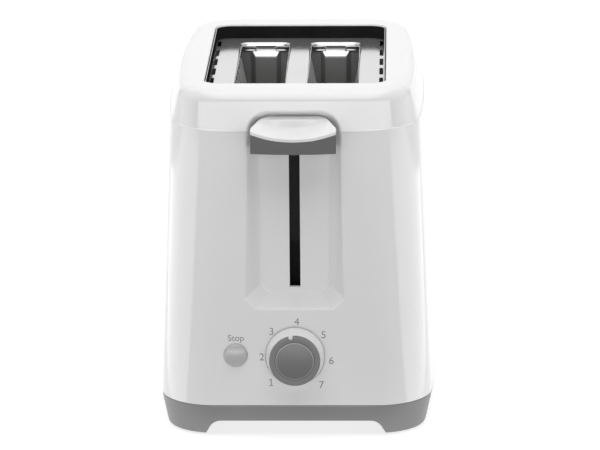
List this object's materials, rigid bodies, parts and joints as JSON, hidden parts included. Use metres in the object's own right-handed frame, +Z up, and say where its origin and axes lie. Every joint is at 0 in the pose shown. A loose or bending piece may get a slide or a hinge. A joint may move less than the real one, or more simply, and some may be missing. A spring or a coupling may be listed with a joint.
{
  "type": "pop up toaster",
  "caption": "Pop-up toaster with a white housing on a grey base, bread slots in a bright sunken pan, a lever in a front channel, a numbered browning dial and a push button.",
  "frame": {"origin": "middle of the bounding box, on the plane that the foot pads stand on", "axes": "+Z up, the lever end faces -Y, +X to the right of a viewer in front"},
  "size_m": [0.158, 0.242, 0.194],
  "materials": {
    "housing_white": "gloss",
    "base_grey": "satin",
    "pad_rubber": "matte",
    "plated_steel": "plated",
    "black_steel": "blackened",
    "polished_steel": "polished",
    "sheet_steel": "bright",
    "mica": "matte",
    "ribbon": "drawn",
    "guard_wire": "drawn",
    "lever_grey": "satin",
    "coil_copper": "enamelled",
    "circuit_green": "satin",
    "black_plastic": "satin",
    "knob_light": "gloss",
    "knob_dark": "satin",
    "knob_grey": "satin",
    "button_grey": "satin",
    "gland_grey": "matte",
    "lead_black": "matte"
  },
  "bodies": {
    "frame": {"housing_shell": "housing_white", "base": "base_grey", "foot_pads": "pad_rubber", "base_screws": "plated_steel", "top_plate": "polished_steel", "front_end_plate": "sheet_steel", "rear_end_plate": "sheet_steel", "left_shield": "sheet_steel", "right_shield": "sheet_steel", "left_board": "mica", "centre_board": "mica", "right_board": "mica", "left_winding": "ribbon", "centre_winding": "ribbon", "right_winding": "ribbon", "left_outer_guard": "guard_wire", "left_inner_guard": "guard_wire", "right_inner_guard": "guard_wire", "right_outer_guard": "guard_wire", "guide_rod": "guard_wire", "carriage_spring": "guard_wire", "magnet_yoke": "plated_steel", "magnet_coil": "coil_copper", "circuit_board": "circuit_green", "potentiometer": "black_plastic", "cancel_switch": "black_plastic", "cord_gland": "gland_grey", "supply_leads": "lead_black"},
    "carriage": {"left_rack": "sheet_steel", "right_rack": "sheet_steel", "carriage_plate": "black_steel", "lever_arm": "black_steel", "lever_grip": "lever_grey", "lever_cap": "housing_white", "keeper": "plated_steel"},
    "knob": {"knob_skirt": "knob_light", "knob_ring": "knob_dark", "knob_cap": "knob_grey", "pot_shaft": "black_plastic"},
    "button": {"cancel_button": "button_grey"},
    "tray": {"crumb_tray": "sheet_steel", "tray_handle": "base_grey"}
  },
  "joints": [
    {"name": "carriage_slide", "type": "slide", "parent": "frame", "child": "carriage", "axis": [0, 0, -1], "range_m": [0, 0.076], "stiffness_N_per_m": 60, "springref_m": -0.05, "deforming": ["carriage_spring"]},
    {"name": "knob_turn", "type": "hinge", "parent": "frame", "child": "knob", "pos_m": [0, -0.115, 0.0467], "axis": [0, 1, 0], "range_deg": [-129, 147]},
    {"name": "button_press", "type": "slide", "parent": "frame", "child": "button", "axis": [0, 1, 0], "range_m": [0, 0.0022], "stiffness_N_per_m": 400, "springref_m": -0.002},
    {"name": "tray_pull", "type": "slide", "parent": "frame", "child": "tray", "axis": [0, 1, 0], "range_m": [0, 0.15]}
  ]
}
